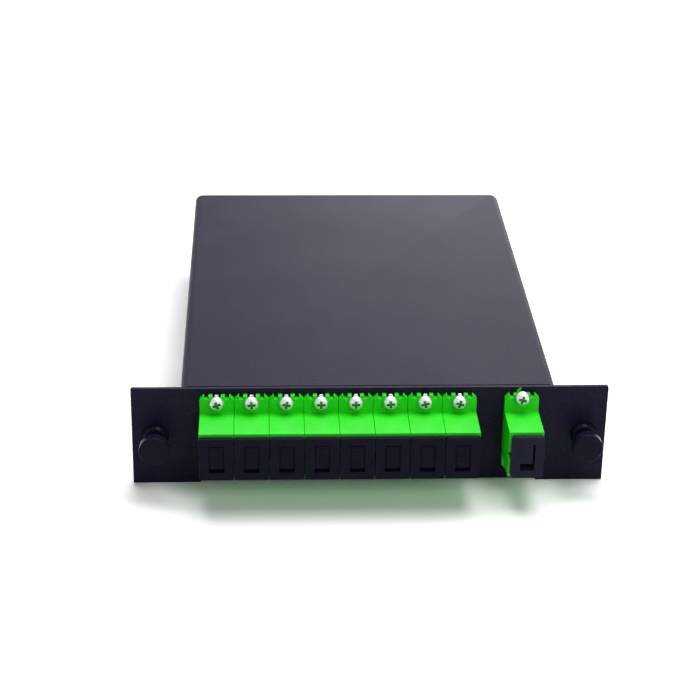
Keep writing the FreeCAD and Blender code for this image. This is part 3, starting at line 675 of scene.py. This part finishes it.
def polished_zirconia():
    # Ground ceramic: warm white, hard and very smooth, with brighter reflections than plastic.
    # The grinding marks are drawn at 0.4 mm, far coarser than they are.
    material, tree, place = new_material("ground zirconia")
    grind = add_node(tree, "ShaderNodeTexNoise", {"Scale": per_metre(0.4), "Detail": 2.0}, {"Vector": place})
    gloss = add_node(tree, "ShaderNodeMapRange", {"To Min": 0.08, "To Max": 0.14},
                     {"Value": grind.outputs["Fac"]})
    ceramic = add_node(tree, "ShaderNodeBsdfPrincipled",
                       {"Base Color": linear_colour("#ece7da"), "IOR": 2.15},
                       {"Roughness": gloss.outputs["Result"]})
    finish_material(tree, ceramic)
    return material


def drawn_stainless():
    # Drawn stainless tube: grey with fine lines along its length from the die, drawn at 0.15 mm.
    material, tree, place = new_material("drawn stainless steel")
    along = add_node(tree, "ShaderNodeMapping", {"Scale": (1.0, 0.02, 1.0)}, {"Vector": place})
    lines = add_node(tree, "ShaderNodeTexNoise", {"Scale": per_metre(0.15), "Detail": 3.0},
                     {"Vector": along.outputs[0]})
    gloss = add_node(tree, "ShaderNodeMapRange", {"To Min": 0.25, "To Max": 0.45},
                     {"Value": lines.outputs["Fac"]})
    relief = add_node(tree, "ShaderNodeBump", {"Strength": 1.0, "Distance": 0.002 * MM},
                      {"Height": lines.outputs["Fac"]})
    metal = add_node(tree, "ShaderNodeBsdfPrincipled",
                     {"Base Color": linear_colour("#c4c5c6"), "Metallic": 1.0},
                     {"Roughness": gloss.outputs["Result"], "Normal": relief.outputs["Normal"]})
    finish_material(tree, metal)
    return material


zirconia_material = polished_zirconia()
dress(["alignment_sleeves", "connector_ferrules"], zirconia_material)
dress(["splitter_module"], drawn_stainless())
# Moulded PBT: the plugs' housings are a darker green than the ports, and a little glossier.
dress(["connector_" + port for port in ports],
      moulded_plastic("moulded green PBT", "#178a26", "#1c9a2c", 5, 0.3, 0.003, 0.35, 0.45, 1.55))
# The sleeve holders are PBT too: off-white, even and satin.
dress(["sleeve_holders"],
      moulded_plastic("moulded white PBT", "#d6d5cd", "#dfded7", 5, 0.3, 0.003, 0.35, 0.45, 1.55))
# Soft elastomer: matt, so that it shows no clear reflection.
dress(["connector_boots"],
      moulded_plastic("green elastomer", "#156f26", "#1a7d2c", 4, 0.4, 0.006, 0.6, 0.72, 1.5, 0.4))
# Poured epoxy: black, with a gloss that varies from place to place.
dress(["module_end_plugs"],
      moulded_plastic("black epoxy", "#18181a", "#202022", 3, 0.5, 0.01, 0.3, 0.5, 1.55))
# Foam tape: dull white, its open pores drawn at 0.5 mm.
dress(["module_pad"],
      moulded_plastic("white foam tape", "#d8d8d4", "#e6e6e2", 1.2, 0.5, 0.08, 0.85, 0.95, 1.45, 0.2))
# Natural nylon: milky and satin.
dress(["module_clips"],
      moulded_plastic("natural nylon", "#dcdad2", "#e6e4dd", 4, 0.4, 0.003, 0.4, 0.5, 1.53))

# Buffered fibres: a smooth soft vinyl jacket in the standard order of colours, the input in yellow.
FIBRE_COLOURS = (
    ("#1a55a3", "#1f60b4"), ("#e87419", "#f07e20"), ("#198738", "#1f9541"), ("#734522", "#7f4e27"),
    ("#797f86", "#848b91"), ("#ebebe6", "#f1f1ed"), ("#c82121", "#d42828"), ("#19191b", "#1e1e20"),
    ("#edc21a", "#f4cc22"))
for port, (low, high) in zip(ports, FIBRE_COLOURS):
    dress(["fibre_" + port],
          moulded_plastic("vinyl jacket " + port, low, high, 6, 0.6, 0.004, 0.3, 0.42, 1.52))


# ---------------------------------------------------------------- floor and light
# A plain white table under a broad overhead softbox, with weaker ones low behind and in front.
# What the camera and mirrors see of table and surroundings is white; they light the object less.

TABLE = 600 * MM             # half its width
floor_mesh = bpy.data.meshes.new("floor")
floor_mesh.from_pydata([(-TABLE, -TABLE, 0), (TABLE, -TABLE, 0), (TABLE, TABLE, 0), (-TABLE, TABLE, 0)],
                       [], [(0, 1, 2, 3)])
floor = bpy.data.objects.new("floor", floor_mesh)
scene.collection.objects.link(floor)
# Matt white: the camera and mirrors see it as bright white, and the object gets less light from it.
material, tree, place = new_material("white table")
light_path = add_node(tree, "ShaderNodeLightPath")
seen = add_node(tree, "ShaderNodeMath", {"operation": "MAXIMUM"},
                {0: light_path.outputs["Is Camera Ray"], 1: light_path.outputs["Is Glossy Ray"]})
lift = add_node(tree, "ShaderNodeMapRange", {"To Min": 0.5, "To Max": 1.25}, {"Value": seen.outputs[0]})
paper = add_node(tree, "ShaderNodeBsdfDiffuse", links={"Color": lift.outputs["Result"]})
finish_material(tree, paper)
floor_mesh.materials.append(material)


def softbox(name, place, aim, width, height, power):
    """A rectangular lamp at a place, turned to an aim; places and sides in metres, power in watts."""
    lamp = bpy.data.lights.new(name, "AREA")
    lamp.shape = "RECTANGLE"
    lamp.size, lamp.size_y = width, height
    lamp.energy = power
    box = bpy.data.objects.new(name, lamp)
    scene.collection.objects.link(box)
    box.location = place
    box.rotation_euler = (Vector(aim) - Vector(place)).to_track_quat("-Z", "Y").to_euler()


softbox("overhead_softbox", (0.12, 0.22, 0.88), (0, 0, 0), 0.9, 0.6, 10.5)
softbox("back_softbox", (0.30, 1.25, 0.22), (0, 0, 0), 0.6, 0.2, 2.5)
softbox("front_softbox", (0.38, -0.80, 0.50), (0, -0.05, 0), 0.7, 0.5, 2.6)

world = bpy.data.worlds.new("studio")
scene.world = world
world.use_nodes = True
tree = world.node_tree
tree.nodes.clear()
light_path = add_node(tree, "ShaderNodeLightPath")
seen = add_node(tree, "ShaderNodeMath", {"operation": "MAXIMUM"},
                {0: light_path.outputs["Is Camera Ray"], 1: light_path.outputs["Is Glossy Ray"]})
seen = add_node(tree, "ShaderNodeMath", {"operation": "MAXIMUM"},
                {0: seen.outputs[0], 1: light_path.outputs["Is Transmission Ray"]})
level = add_node(tree, "ShaderNodeMapRange", {"To Min": 0.15, "To Max": 1.0}, {"Value": seen.outputs[0]})
sky = add_node(tree, "ShaderNodeBackground", {"Color": (1, 1, 1, 1)}, {"Strength": level.outputs["Result"]})
add_node(tree, "ShaderNodeOutputWorld", links={"Surface": sky.outputs[0]})

scene.view_settings.view_transform = "Standard"
